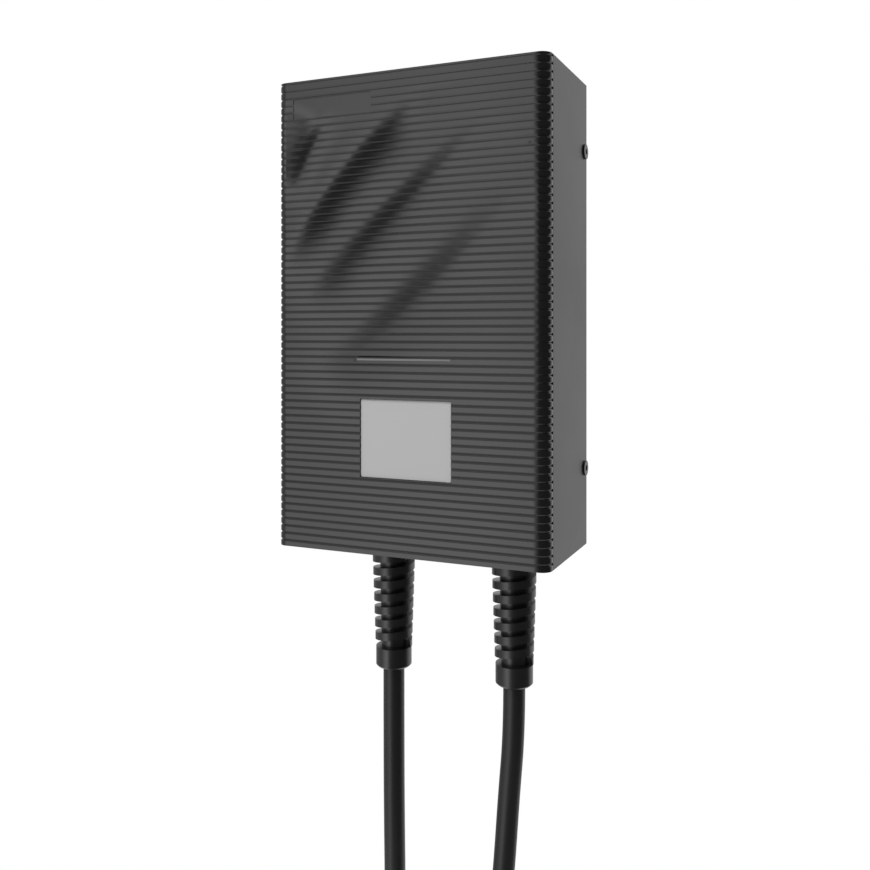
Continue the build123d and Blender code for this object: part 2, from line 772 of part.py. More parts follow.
# Ring sensor for fault current, with the two main links through it
sensor_x = -38.0
sensor_z = -46.0
sensor_outer = 16.5
sensor_inner = 9.0
sensor_height = 13.0
sensor_foot = 2.0
sensor_distance = power_board_face + sensor_outer + sensor_foot
with BuildPart() as fault_sensor:
    with BuildSketch(Plane.XY.offset(sensor_z - sensor_height / 2)):
        with Locations((sensor_x, -sensor_distance)):
            Circle(sensor_outer)
        with Locations((sensor_x, -power_board_face - 2 * sensor_foot)):
            Rectangle(1.6 * sensor_outer, 4 * sensor_foot)
        with Locations((sensor_x, -sensor_distance)):
            Circle(sensor_inner, mode=Mode.SUBTRACT)
    extrude(amount=sensor_height)
fault_sensor.part.label = "fault_sensor"
export_step(fault_sensor.part, "parts/fault_sensor.step")

link_radius = 2.4
link_reach = 15.0
link_bend = 6.0
link_offset = 3.6
with BuildPart() as sensor_links:
    for side in (-1, 1):
        link_x = sensor_x + side * link_offset
        with BuildLine() as link_path:
            FilletPolyline(
                (link_x, -power_board_face, sensor_z - link_reach),
                (link_x, -sensor_distance, sensor_z - link_reach),
                (link_x, -sensor_distance, sensor_z + link_reach),
                (link_x, -power_board_face, sensor_z + link_reach),
                radius=link_bend,
            )
        with BuildSketch(wall_plane(power_board_face)):
            with Locations((link_x, sensor_z - link_reach)):
                Circle(link_radius)
        sweep(path=link_path.line)
sensor_links.part.label = "sensor_links"
export_step(sensor_links.part, "parts/sensor_links.step")

# Relays, power module, capacitors, surge absorbers and fuse
relay_size = (24.0, 29.0, 27.0)
relay_pitch = 38.0
relay_count = 4
relay_z = 10.0
relay_edge = 0.8
with BuildPart() as relays:
    with BuildSketch(wall_plane(power_board_face)):
        with Locations((0, relay_z)):
            with GridLocations(relay_pitch, 1, relay_count, 1):
                Rectangle(relay_size[0], relay_size[1])
    extrude(amount=relay_size[2])
    chamfer(relays.edges().filter_by(Axis.Y), relay_edge)
relays.part.label = "relays"
export_step(relays.part, "parts/relays.step")

module_size = (52.0, 28.0, 22.0)
module_corner = 1.5
upper_row_z = 84.0
with BuildPart() as power_module:
    with BuildSketch(wall_plane(power_board_face)):
        with Locations((sensor_x, upper_row_z)):
            RectangleRounded(module_size[0], module_size[1], module_corner)
    extrude(amount=module_size[2])
power_module.part.label = "power_module"
export_step(power_module.part, "parts/power_module.step")

film_capacitor_size = (24.0, 10.0, 17.0)
can_capacitor_radius = 6.5
can_capacitor_height = 24.0
middle_row_z = 48.0
with BuildPart() as filter_capacitors:
    with BuildSketch(wall_plane(power_board_face)):
        with Locations((22, middle_row_z), (50, middle_row_z)):
            Rectangle(film_capacitor_size[0], film_capacitor_size[1])
    extrude(amount=film_capacitor_size[2])
    with BuildSketch(wall_plane(power_board_face)):
        with Locations((16, upper_row_z), (34, upper_row_z)):
            Circle(can_capacitor_radius)
    extrude(amount=can_capacitor_height)
filter_capacitors.part.label = "filter_capacitors"
export_step(filter_capacitors.part, "parts/filter_capacitors.step")

disc_radius = 8.0
disc_thickness = 4.5
disc_foot = 4.0
disc_low_z = 42.0
disc_middles = (-64.0, -44.0, -24.0)
with BuildPart() as varistors:
    with BuildSketch(Plane.XY.offset(disc_low_z)):
        with Locations(*[(disc_x, -power_board_face - disc_radius) for disc_x in disc_middles]):
            Circle(disc_radius)
        with Locations(*[(disc_x, -power_board_face - disc_foot / 2) for disc_x in disc_middles]):
            Rectangle(disc_radius, disc_foot)
    extrude(amount=disc_thickness)
varistors.part.label = "varistors"
export_step(varistors.part, "parts/varistors.step")

fuse_radius = 3.0
fuse_length = 22.0
fuse_x = 44.0
fuse_z = 110.0
fuse_height = 5.0              # middle of the fuse above the board
clip_width = 4.0
clip_inset = 1.0
with BuildPart() as control_fuse:
    with BuildSketch(Plane.YZ.offset(fuse_x)):
        with Locations((-power_board_face - fuse_height, fuse_z)):
            Circle(fuse_radius)
    extrude(amount=fuse_length)
    for clip_x in (fuse_x + clip_inset, fuse_x + fuse_length - clip_width - clip_inset):
        with BuildSketch(Plane.YZ.offset(clip_x)):
            with Locations((-power_board_face - fuse_height / 2, fuse_z)):
                Rectangle(fuse_height, 2 * fuse_radius + clip_inset)
        extrude(amount=clip_width)
control_fuse.part.label = "control_fuse"
export_step(control_fuse.part, "parts/control_fuse.step")

# Flat ribbon between the boards, with a header at each end
header_height = 8.0
header_width = 26.0
header_thickness = 6.0
ribbon_x = -1.0
ribbon_bend = 6.0
ribbon_width = 22.0
ribbon_thickness = 1.0
ribbon_low_z = -104.0
ribbon_top_z = 66.0
ribbon_distance = 64.0
with BuildPart() as ribbon_headers:
    with BuildSketch(wall_plane(power_board_face)):
        with Locations((ribbon_x, ribbon_top_z)):
            Rectangle(header_width, header_thickness)
    extrude(amount=header_height)
    with BuildSketch(wall_plane(display_board_back)):
        with Locations((ribbon_x, ribbon_low_z)):
            Rectangle(header_width, header_thickness)
    extrude(amount=-header_height)
ribbon_headers.part.label = "ribbon_headers"
export_step(ribbon_headers.part, "parts/ribbon_headers.step")

with BuildPart() as ribbon_cable:
    with BuildLine() as ribbon_path:
        FilletPolyline(
            (ribbon_x, -power_board_face - header_height, ribbon_top_z),
            (ribbon_x, -ribbon_distance, ribbon_top_z),
            (ribbon_x, -ribbon_distance, ribbon_low_z),
            (ribbon_x, header_height - display_board_back, ribbon_low_z),
            radius=ribbon_bend,
        )
    with BuildSketch(wall_plane(power_board_face + header_height)):
        with Locations((ribbon_x, ribbon_top_z)):
            Rectangle(ribbon_width, ribbon_thickness)
    sweep(path=ribbon_path.line)
ribbon_cable.part.label = "ribbon_cable"
export_step(ribbon_cable.part, "parts/ribbon_cable.step")

# Cable entries: threaded bodies, seals, nuts and bushes
flange_top_z = bottom_z - gland_seal_height
with BuildPart() as gland_bodies:
    for place_x, place_y in gland_places:
        with BuildSketch(Plane.XY.offset(flange_top_z - gland_flange_height)):
            with Locations((place_x, place_y)):
                RegularPolygon(gland_flange_width / 2, 6, major_radius=False)
        extrude(amount=gland_flange_height)
        with BuildSketch(Plane.XY.offset(flange_top_z)):
            with Locations((place_x, place_y)):
                Circle(gland_thread_radius)
        extrude(amount=gland_thread_length)
        with BuildSketch(Plane.XY.offset(flange_top_z - gland_flange_height)):
            with Locations((place_x, place_y)):
                Circle(bore_radius)
        extrude(amount=gland_flange_height + gland_thread_length, mode=Mode.SUBTRACT)
        with BuildSketch(Plane.XY.offset(flange_top_z - gland_flange_height)):
            with Locations((place_x, place_y)):
                Circle(bore_radius + bush_wall + snug)
        extrude(amount=bush_height, mode=Mode.SUBTRACT)
gland_bodies.part.label = "gland_bodies"
export_step(gland_bodies.part, "parts/gland_bodies.step")

with BuildPart() as gland_seals:
    with BuildSketch(Plane.XY.offset(flange_top_z)):
        with Locations(*gland_places):
            Circle(gland_thread_radius + snug + gland_seal_width)
            Circle(gland_thread_radius + snug, mode=Mode.SUBTRACT)
    extrude(amount=gland_seal_height)
gland_seals.part.label = "gland_seals"
export_step(gland_seals.part, "parts/gland_seals.step")

with BuildPart() as gland_nuts:
    with BuildSketch(Plane.XY.offset(bottom_z + housing_wall)):
        with Locations(*gland_places):
            RegularPolygon(gland_nut_width / 2, 6, major_radius=False)
            Circle(gland_thread_radius + snug, mode=Mode.SUBTRACT)
    extrude(amount=gland_nut_height)
gland_nuts.part.label = "gland_nuts"
export_step(gland_nuts.part, "parts/gland_nuts.step")

with BuildPart() as gland_bushes:
    with BuildSketch(Plane.XY.offset(flange_top_z - gland_flange_height)):
        with Locations(*gland_places):
            Circle(bore_radius + bush_wall)
            Circle(bore_radius, mode=Mode.SUBTRACT)
    extrude(amount=bush_height)
gland_bushes.part.label = "gland_bushes"
export_step(gland_bushes.part, "parts/gland_bushes.step")

# Spiral boots: a tapered core with one coiled fin, between a neck and an end collar
fin_root = 1.4                 # how deep the fin is rooted in the core
fin_lift = 2.5                 # middle of the fin's start above the collar
fin_reach = boot_end_fin - boot_end_core + fin_root
fin_start_radius = boot_end_fin - fin_reach / 2
fin_end_radius = boot_top_fin - fin_reach / 2
fin_rise = boot_pitch * boot_turns
fin_cone = degrees(atan2(fin_end_radius - fin_start_radius, fin_rise))
fin_start_z = boot_end_z + collar_height + fin_lift


def spiral_boot(place_x):
    """One boot, hanging from its cable entry."""
    boot_plane = Plane(origin=(place_x, -gland_distance, 0), x_dir=(1, 0, 0), z_dir=(0, -1, 0))
    with BuildPart() as boot:
        with BuildSketch(boot_plane):
            with BuildLine():
                Polyline(
                    (0, boot_top_z),
                    (boot_neck_radius, boot_top_z),
                    (boot_neck_radius, boot_top_z - boot_neck_height),
                    (boot_top_core, boot_top_z - boot_neck_height),
                    (boot_end_core, boot_end_z + collar_height),
                    (collar_radius, boot_end_z + collar_height),
                    (collar_radius, boot_end_z + collar_round),
                    (collar_radius - collar_round, boot_end_z),
                    (0, boot_end_z),
                    close=True,
                )
            make_face()
        revolve(axis=Axis((place_x, -gland_distance, 0), (0, 0, 1)))
        fin_line = Helix(
            pitch=boot_pitch,
            height=fin_rise,
            radius=fin_start_radius,
            center=(place_x, -gland_distance, fin_start_z),
            cone_angle=fin_cone,
            mode=Mode.PRIVATE,
        )
        with BuildSketch(Plane(origin=fin_line @ 0, x_dir=(1, 0, 0), z_dir=fin_line % 0)):
            Rectangle(fin_reach, boot_fin_height)
        sweep(path=fin_line, is_frenet=True)
        with BuildSketch(Plane.XY.offset(boot_end_z)):
            with Locations((place_x, -gland_distance)):
                Circle(bore_radius)
        extrude(amount=boot_length, mode=Mode.SUBTRACT)
    return boot


supply_boot = spiral_boot(supply_x)
supply_boot.part.label = "supply_boot"
export_step(supply_boot.part, "parts/supply_boot.step")

charging_boot = spiral_boot(charging_x)
charging_boot.part.label = "charging_boot"
export_step(charging_boot.part, "parts/charging_boot.step")

# Jacketed cable from the end of each boot up to the clamps
with BuildPart() as cable_lead_ins:
    with BuildSketch(Plane.XY.offset(boot_end_z)):
        with Locations(*gland_places):
            Circle(cable_radius)
    extrude(amount=jacket_end_z - boot_end_z)
cable_lead_ins.part.label = "cable_lead_ins"
export_step(cable_lead_ins.part, "parts/cable_lead_ins.step")

clamp_ear_y = -gland_distance - clamp_bar_thickness
clamp_foot = (clamp_arch_radius**2 - clamp_bar_thickness**2) ** 0.5
with BuildPart() as cable_clamps:
    for place_x in (supply_x, charging_x):
        with BuildSketch(Plane.XY.offset(clamp_z - clamp_height / 2)):
            with BuildLine():
                Polyline(
                    (place_x - clamp_foot, clamp_ear_y),
                    (place_x - clamp_half_width, clamp_ear_y),
                    (place_x - clamp_half_width, -gland_distance),
                    (place_x + clamp_half_width, -gland_distance),
                    (place_x + clamp_half_width, clamp_ear_y),
                    (place_x + clamp_foot, clamp_ear_y),
                )
                ThreePointArc(
                    (place_x + clamp_foot, clamp_ear_y),
                    (place_x, -gland_distance - clamp_arch_radius),
                    (place_x - clamp_foot, clamp_ear_y),
                )
            make_face()
            with Locations((place_x, -gland_distance)):
                Circle(bore_radius, mode=Mode.SUBTRACT)
        extrude(amount=clamp_height)
        with BuildSketch(wall_plane(gland_distance)):
            with Locations((place_x, clamp_z)):
                with GridLocations(2 * clamp_screw_x, 1, 2, 1):
                    Circle(clamp_screw_radius + snug)
        extrude(amount=clamp_bar_thickness, mode=Mode.SUBTRACT)
cable_clamps.part.label = "cable_clamps"
export_step(cable_clamps.part, "parts/cable_clamps.step")

clamp_screw_spots = [
    (place_x + side * clamp_screw_x, clamp_z)
    for place_x in (supply_x, charging_x)
    for side in (-1, 1)
]
with BuildPart() as clamp_screws:
    with BuildSketch(wall_plane(gland_distance + clamp_bar_thickness)):
        with Locations(*clamp_screw_spots):
            Circle(clamp_screw_head_radius)
    extrude(amount=clamp_screw_head)
    with BuildSketch(wall_plane(gland_distance + clamp_bar_thickness)):
        with Locations(*clamp_screw_spots):
            Circle(clamp_screw_radius)
    extrude(amount=-clamp_screw_length)
clamp_screws.part.label = "clamp_screws"
export_step(clamp_screws.part, "parts/clamp_screws.step")

# Cores of both cables, from the jacket ends to their terminals
core_spread = 4.4
core_end_z = terminal_low_z + tunnel_length - 1.0
core_straight = 10.0
core_bend = 9.0
neutral_shift = 0.6            # keeps the crossing cores of the charging cable apart
pilot_shift = 1.0


def core_wire(start_x, start_distance, pole_x, radius):
    """One core from its jacket up into its terminal."""
    with BuildPart() as wire:
        with BuildLine() as core_path:
            FilletPolyline(
                (start_x, -start_distance, jacket_end_z),
                (start_x, -start_distance, jacket_end_z + core_straight),
                (pole_x, -tunnel_distance, terminal_low_z - core_straight),
                (pole_x, -tunnel_distance, core_end_z),
                radius=core_bend,
            )
        with BuildSketch(Plane.XY.offset(jacket_end_z)):
            with Locations((start_x, -start_distance)):
                Circle(radius)
        sweep(path=core_path.line)
    return wire.part


supply_poles = pole_places(supply_block)
output_poles = pole_places(output_block)
with BuildPart() as live_wires:
    add(core_wire(supply_x - core_spread, gland_distance, supply_poles[0], core_radius))
    add(core_wire(charging_x - core_spread, gland_distance, output_poles[0], core_radius))
live_wires.part.label = "live_wires"
export_step(live_wires.part, "parts/live_wires.step")

with BuildPart() as neutral_wires:
    add(core_wire(supply_x, gland_distance + core_spread, supply_poles[1], core_radius))
    add(core_wire(charging_x, gland_distance + core_spread + neutral_shift, output_poles[1], core_radius))
neutral_wires.part.label = "neutral_wires"
export_step(neutral_wires.part, "parts/neutral_wires.step")

with BuildPart() as earth_wires:
    add(core_wire(supply_x + core_spread, gland_distance, supply_poles[2], core_radius))
    add(core_wire(charging_x + core_spread, gland_distance, output_poles[2], core_radius))
earth_wires.part.label = "earth_wires"
export_step(earth_wires.part, "parts/earth_wires.step")

with BuildPart() as pilot_wire:
    add(core_wire(charging_x + pilot_shift, gland_distance - core_spread, output_poles[3], pilot_radius))
pilot_wire.part.label = "pilot_wire"
export_step(pilot_wire.part, "parts/pilot_wire.step")


def below_boot(entry_x, spots):
    """Route points under one boot. A spot is x from the entry, wall distance, drop."""
    return [(entry_x + across, distance, boot_end_z - drop) for across, distance, drop in spots]


# Free cables. Each hangs straight down, then runs into a round coil that is parallel to
# the wall. Its tail leaves the coil at the left and hangs straight down.
supply_route = below_boot(
    supply_x,
    [
        (0.0, gland_distance, 0.0),
        (0.0, gland_distance, 69.0),
        (0.3, 42.6, 129.0),
        (0.0, 40.6, 175.6),
        (-12.0, 36.8, 208.7),
        (-34.7, 33.0, 235.8),
        (-50.0, 31.5, 244.6),
    ],
)
supply_tail_route = below_boot(
    supply_x,
    [
        (-100.2, 15.1, 331.5),
        (-100.6, 16.0, 370.0),
        (-100.6, 16.0, 406.0),
    ],
)
charging_route = below_boot(
    charging_x,
    [
        (0.0, gland_distance, 0.0),
        (0.0, gland_distance, 34.0),
        (-3.9, 43.6, 82.0),
        (-6.2, 45.0, 122.0),
        (-8.6, 47.0, 157.0),
        (-20.6, 49.6, 186.8),
        (-42.6, 51.1, 212.0),
        (-57.1, 51.5, 220.4),
    ],
)
charging_tail_route = below_boot(
    charging_x,
    [
        (-123.6, 67.9, 335.6),
        (-124.2, 67.2, 374.0),
        (-124.2, 67.2, 410.0),
    ],
)
coil_step = cable_diameter + 0.4
supply_coil_radius = 100.4
supply_coil_layers = 2
supply_coil_centre = (supply_x + 0.2, boot_end_z - 331.5)
supply_coil_front = 31.5
charging_coil_radius = 133.0
charging_coil_layers = 5
charging_coil_centre = (charging_x + 9.4, boot_end_z - 335.6)
charging_coil_front = 67.9
coil_columns = 2
coil_edge_radius = 0.8 * cable_radius


def corner_radii(points):
    """The largest tangent arc that each corner of a route leaves room for."""
    radii = []
    for before, corner, after in zip(points, points[1:], points[2:]):
        arriving = Vector(*corner) - Vector(*before)
        leaving = Vector(*after) - Vector(*corner)
        half_turn = radians(arriving.get_angle(leaving)) / 2
        radii.append(0.45 * min(arriving.length, leaving.length) / tan(half_turn))
    return radii


def cable_tube(name, points):
    """The round cable along one route."""
    spots = [(x, -distance, z) for x, distance, z in points]
    radii = corner_radii(spots)
    with BuildPart() as tube:
        with BuildLine() as route:
            FilletPolyline(*spots, radius=radii)
        middle_line = route.wires()[0]
        with BuildSketch(Plane(origin=spots[0], z_dir=middle_line % 0)):
            Circle(cable_radius)
        sweep(path=middle_line)
    share = tube.part.volume / (pi * cable_radius**2 * middle_line.length)
    print(name, "length", round(middle_line.length, 1), "radii", [round(radius) for radius in radii])
    print(name, "volume over section times length", round(share, 4))
    return tube


def coil_ring(centre, front, radius, layers):
    """Outer shape of a coil, as one ring with rounded edges."""
    width = coil_step * (coil_columns - 1) + cable_diameter
    depth = coil_step * (layers - 1) + cable_diameter
    middle_radius = radius - coil_step * (layers - 1) / 2
    middle_y = width / 2 - cable_radius - front
    with BuildPart() as ring:
        with BuildSketch(Plane(origin=(centre[0], middle_y, centre[1]))):
            with Locations((middle_radius, 0)):
                RectangleRounded(depth, width, coil_edge_radius)
        revolve(axis=Axis((centre[0], middle_y, centre[1]), (0, 1, 0)))
    return ring


def coil_tie(centre, front, radius, layers, angle):
    """Hook-and-loop strap round the turns of a coil, at one angle of its ring."""
    width = coil_step * (coil_columns - 1) + cable_diameter + 2 * slip
    depth = coil_step * (layers - 1) + cable_diameter + 2 * slip
    middle_radius = radius - coil_step * (layers - 1) / 2
    middle_y = width / 2 - slip - cable_radius - front
    start = radians(angle - degrees(tie_width / middle_radius) / 2)
    out = (cos(start), 0, sin(start))
    spot = (centre[0] + middle_radius * out[0], middle_y, centre[1] + middle_radius * out[2])
    with BuildPart() as strap:
        with BuildSketch(Plane(origin=spot, x_dir=out, z_dir=(-out[2], 0, out[0]))):
            outer_round = coil_edge_radius + tie_thickness
            RectangleRounded(depth + 2 * tie_thickness, width + 2 * tie_thickness, outer_round)
            RectangleRounded(depth, width, coil_edge_radius, mode=Mode.SUBTRACT)
        ring_axis = Axis((centre[0], middle_y, centre[1]), (0, -1, 0))
        revolve(axis=ring_axis, revolution_arc=degrees(tie_width / middle_radius))
    return strap.part


supply_cable = cable_tube("supply_cable", supply_route)
supply_cable.part.label = "supply_cable"
export_step(supply_cable.part, "parts/supply_cable.step")

supply_tail = cable_tube("supply_tail", supply_tail_route)
supply_tail.part.label = "supply_tail"
export_step(supply_tail.part, "parts/supply_tail.step")

charging_cable = cable_tube("charging_cable", charging_route)
charging_cable.part.label = "charging_cable"
export_step(charging_cable.part, "parts/charging_cable.step")

charging_tail = cable_tube("charging_tail", charging_tail_route)
charging_tail.part.label = "charging_tail"
export_step(charging_tail.part, "parts/charging_tail.step")

supply_coil_shape = (supply_coil_centre, supply_coil_front, supply_coil_radius, supply_coil_layers)
charging_coil_shape = (charging_coil_centre, charging_coil_front, charging_coil_radius, charging_coil_layers)
supply_coil = coil_ring(*supply_coil_shape)
supply_coil.part.label = "supply_coil"
export_step(supply_coil.part, "parts/supply_coil.step")

charging_coil = coil_ring(*charging_coil_shape)
charging_coil.part.label = "charging_coil"
export_step(charging_coil.part, "parts/charging_coil.step")

with BuildPart() as supply_ties:
    for tie_angle in supply_tie_angles:
        add(coil_tie(*supply_coil_shape, tie_angle))
supply_ties.part.label = "supply_ties"
export_step(supply_ties.part, "parts/supply_ties.step")

with BuildPart() as charging_ties:
    for tie_angle in charging_tie_angles:
        add(coil_tie(*charging_coil_shape, tie_angle))
charging_ties.part.label = "charging_ties"
export_step(charging_ties.part, "parts/charging_ties.step")

# Free end of the supply cable: a sleeve, then the cores with their crimped ferrules
end_spot = supply_tail_route[-1]
with BuildPart() as supply_sleeve:
    with BuildSketch(Plane.XY.offset(end_spot[2])):
        with Locations((end_spot[0], -end_spot[1])):
            Circle(sleeve_top_radius)
    with BuildSketch(Plane.XY.offset(end_spot[2] - sleeve_length)):
        with Locations((end_spot[0], -end_spot[1])):
            Circle(sleeve_end_radius)
    loft()
supply_sleeve.part.label = "supply_sleeve"
export_step(supply_sleeve.part, "parts/supply_sleeve.step")

core_places = [
    (end_spot[0] + core_spread * cos(radians(turn)), core_spread * sin(radians(turn)) - end_spot[1])
    for turn in (90, 210, 330)
]
with BuildPart() as supply_cores:
    with BuildSketch(Plane.XY.offset(end_spot[2] - sleeve_length)):
        with Locations(*core_places):
            Circle(core_radius)
    extrude(amount=-bare_core_length)
supply_cores.part.label = "supply_cores"
export_step(supply_cores.part, "parts/supply_cores.step")

with BuildPart() as core_ferrules:
    with BuildSketch(Plane.XY.offset(end_spot[2] - sleeve_length - bare_core_length)):
        with Locations(*core_places):
            Circle(ferrule_collar_radius)
    extrude(amount=-ferrule_collar_length)
    with BuildSketch(Plane.XY.offset(end_spot[2] - sleeve_length - bare_core_length - ferrule_collar_length)):
        with Locations(*core_places):
            Circle(ferrule_radius)
    extrude(amount=-ferrule_length)
core_ferrules.part.label = "core_ferrules"
export_step(core_ferrules.part, "parts/core_ferrules.step")

# Vehicle connector at the end of the charging cable, hanging with its nose down.
# A level is a height above the nose face.
nose_x = charging_tail_route[-1][0]
nose_y = -charging_tail_route[-1][1]
grip_top_z = charging_tail_route[-1][2]
relief_level = connector_length - relief_length
nose_z = grip_top_z - connector_length


def level_plane(level, shift=0.0):
    """Horizontal plane of the connector at one level, its centre moved towards the back."""
    return Plane.XY.offset(nose_z + level).shift_origin((nose_x, nose_y + shift, nose_z + level))


shell_stations = [
    (shell_level, 66.0, 68.0, 0.0),
    (shell_level + 22.0, 63.0, 65.0, 0.5),
    (shell_level + 52.0, 48.0, 52.0, 3.0),
    (shell_level + 92.0, 42.0, 46.0, 6.0),
    (shell_level + 128.0, 40.0, 43.0, 4.0),
    (relief_level, 33.0, 34.0, 0.0),
]
with BuildPart() as connector_shell:
    for level, width, thickness, shift in shell_stations:
        with BuildSketch(level_plane(level, shift)):
            Ellipse(width / 2, thickness / 2)
    loft()
    with BuildSketch(level_plane(shell_level)):
        Circle(insert_radius + snug)
    extrude(amount=insert_seat, mode=Mode.SUBTRACT)
for side_name, kept, shell_side in (("left", Keep.TOP, -1), ("right", Keep.BOTTOM, 1)):
    with BuildPart() as connector_half:
        add(connector_shell.part)
        split(bisect_by=Plane(origin=(nose_x, nose_y, nose_z), z_dir=(-1, 0, 0)), keep=kept)
    connector_half.part.label = "connector_shell_" + side_name
    export_step(connector_half.part, "parts/connector_shell_" + side_name + ".step")

# Contact carrier with a flat on its nose
contact_places = [
    (0.0, 0.0, power_contact_radius),
    (-13.4, 0.0, power_contact_radius),
    (13.4, 0.0, power_contact_radius),
    (-7.6, 11.6, power_contact_radius),
    (7.6, 11.6, power_contact_radius),
    (-6.6, -11.4, signal_contact_radius),
    (6.6, -11.4, signal_contact_radius),
]
with BuildPart() as connector_insert:
    with BuildSketch(level_plane(0)):
        Circle(nose_radius)
        with Locations((0, -nose_radius)):
            Rectangle(2 * nose_radius, 2 * nose_flat, mode=Mode.SUBTRACT)
    extrude(amount=shell_level)
    with BuildSketch(level_plane(shell_level)):
        Circle(insert_radius)
    extrude(amount=insert_seat - slip)
    for contact_x, contact_y, contact_radius in contact_places:
        with BuildSketch(level_plane(0)):
            with Locations((contact_x, contact_y)):
                Circle(contact_radius + contact_wall + snug)
        extrude(amount=contact_depth, mode=Mode.SUBTRACT)
connector_insert.part.label = "connector_insert"
export_step(connector_insert.part, "parts/connector_insert.step")

with BuildPart() as connector_contacts:
    for contact_x, contact_y, contact_radius in contact_places:
        with BuildSketch(level_plane(contact_recess)):
            with Locations((contact_x, contact_y)):
                Circle(contact_radius + contact_wall)
                Circle(contact_radius, mode=Mode.SUBTRACT)
        extrude(amount=contact_depth - contact_recess)
connector_contacts.part.label = "connector_contacts"
export_step(connector_contacts.part, "parts/connector_contacts.step")

# Push-on cap over the nose
with BuildPart() as connector_cap:
    with BuildSketch(level_plane(-cap_wall)):
        Circle(nose_radius + slip + cap_wall)
        with Locations((0, -nose_radius - slip - cap_wall)):
            Rectangle(4 * nose_radius, 2 * nose_flat, mode=Mode.SUBTRACT)
    extrude(amount=cap_height)
    fillet(connector_cap.faces().sort_by(Axis.Z)[0].edges(), cap_edge_radius)
    with BuildSketch(level_plane(0)):
        Circle(nose_radius + slip)
        with Locations((0, -nose_radius - slip)):
            Rectangle(4 * nose_radius, 2 * nose_flat, mode=Mode.SUBTRACT)
    extrude(amount=cap_height, mode=Mode.SUBTRACT)
connector_cap.part.label = "connector_cap"
export_step(connector_cap.part, "parts/connector_cap.step")

# Tapered relief where the cable enters the connector
with BuildPart() as connector_relief:
    with BuildSketch(level_plane(relief_level)):
        Circle(relief_base_radius)
    with BuildSketch(level_plane(connector_length)):
        Circle(cable_radius + relief_end_wall)
    loft()
    for ring in range(relief_rings):
        ring_level = relief_level + relief_ring_pitch * (ring + 1)
        with BuildSketch(level_plane(ring_level)):
            Circle(relief_base_radius + slip)
            Circle(relief_neck_radius, mode=Mode.SUBTRACT)
        extrude(amount=relief_ring_gap, mode=Mode.SUBTRACT)
connector_relief.part.label = "connector_relief"
export_step(connector_relief.part, "parts/connector_relief.step")
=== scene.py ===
import json
from math import cos, hypot, pi, radians, sin

import bmesh
import bpy
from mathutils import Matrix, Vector


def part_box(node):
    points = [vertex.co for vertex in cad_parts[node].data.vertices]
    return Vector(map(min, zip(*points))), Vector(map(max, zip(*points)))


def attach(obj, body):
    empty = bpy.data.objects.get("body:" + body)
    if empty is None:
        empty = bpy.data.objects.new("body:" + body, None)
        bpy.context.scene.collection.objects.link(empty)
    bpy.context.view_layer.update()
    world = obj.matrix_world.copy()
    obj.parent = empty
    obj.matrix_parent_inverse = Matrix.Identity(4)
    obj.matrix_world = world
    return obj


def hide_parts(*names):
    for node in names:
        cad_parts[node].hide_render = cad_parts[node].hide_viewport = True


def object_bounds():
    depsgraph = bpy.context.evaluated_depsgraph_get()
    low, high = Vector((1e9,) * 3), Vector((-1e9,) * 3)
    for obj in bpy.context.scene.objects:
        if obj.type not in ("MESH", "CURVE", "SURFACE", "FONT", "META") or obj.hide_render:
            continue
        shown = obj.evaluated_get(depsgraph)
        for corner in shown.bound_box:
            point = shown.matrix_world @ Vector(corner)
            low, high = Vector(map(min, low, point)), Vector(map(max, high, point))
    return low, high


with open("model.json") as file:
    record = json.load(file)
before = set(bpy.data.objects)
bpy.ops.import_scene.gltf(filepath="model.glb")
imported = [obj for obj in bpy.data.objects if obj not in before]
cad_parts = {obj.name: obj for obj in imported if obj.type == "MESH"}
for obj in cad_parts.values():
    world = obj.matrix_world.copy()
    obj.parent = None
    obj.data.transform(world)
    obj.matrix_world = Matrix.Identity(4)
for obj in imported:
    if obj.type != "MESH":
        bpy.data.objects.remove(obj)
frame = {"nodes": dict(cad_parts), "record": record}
nodes = frame["nodes"]
cad_low, cad_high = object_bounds()
scene = bpy.context.scene

# Camera and view
camera_place = (0.2790, -0.6798, -0.0139)
camera_turn = 23.697           # degrees to the left of straight at the wall
camera_sensor = 36.0           # mm
camera_lens = 38.54            # mm
camera_shift = -0.1169         # lowers the frame while upright edges stay upright


def photo_camera():
    """The camera at the photograph's viewing angle."""
    data = bpy.data.cameras.new("camera")
    data.sensor_width = camera_sensor
    data.lens = camera_lens
    data.shift_y = camera_shift
    camera = bpy.data.objects.new("camera", data)
    scene.collection.objects.link(camera)
    camera.location = camera_place
    camera.rotation_euler = (pi / 2, 0, radians(camera_turn))
    scene.camera = camera


photo_camera()
scene.view_settings.view_transform = "Standard"


# Materials and shader nodes
def new_material(name):
    """A material with its node tree emptied down to the output."""
    material = bpy.data.materials.new(name)
    material.use_nodes = True
    tree = material.node_tree
    tree.nodes.clear()
    output = tree.nodes.new("ShaderNodeOutputMaterial")
    return material, tree, output


def feed(tree, socket, value):
    """Link a socket to the one that feeds it, or give it a plain value of its own."""
    if isinstance(value, bpy.types.NodeSocket):
        tree.links.new(value, socket)
    else:
        socket.default_value = value


def math_node(tree, operation, *values):
    """A Math node on numbers or sockets."""
    node = tree.nodes.new("ShaderNodeMath")
    node.operation = operation
    for socket, value in zip(node.inputs, values):
        feed(tree, socket, value)
    return node.outputs[0]


def vector_math(tree, operation, *values, result="Vector"):
    """A Vector Math node on vectors or sockets."""
    node = tree.nodes.new("ShaderNodeVectorMath")
    node.operation = operation
    for socket, value in zip(node.inputs, values):
        feed(tree, socket, value)
    return node.outputs[result]


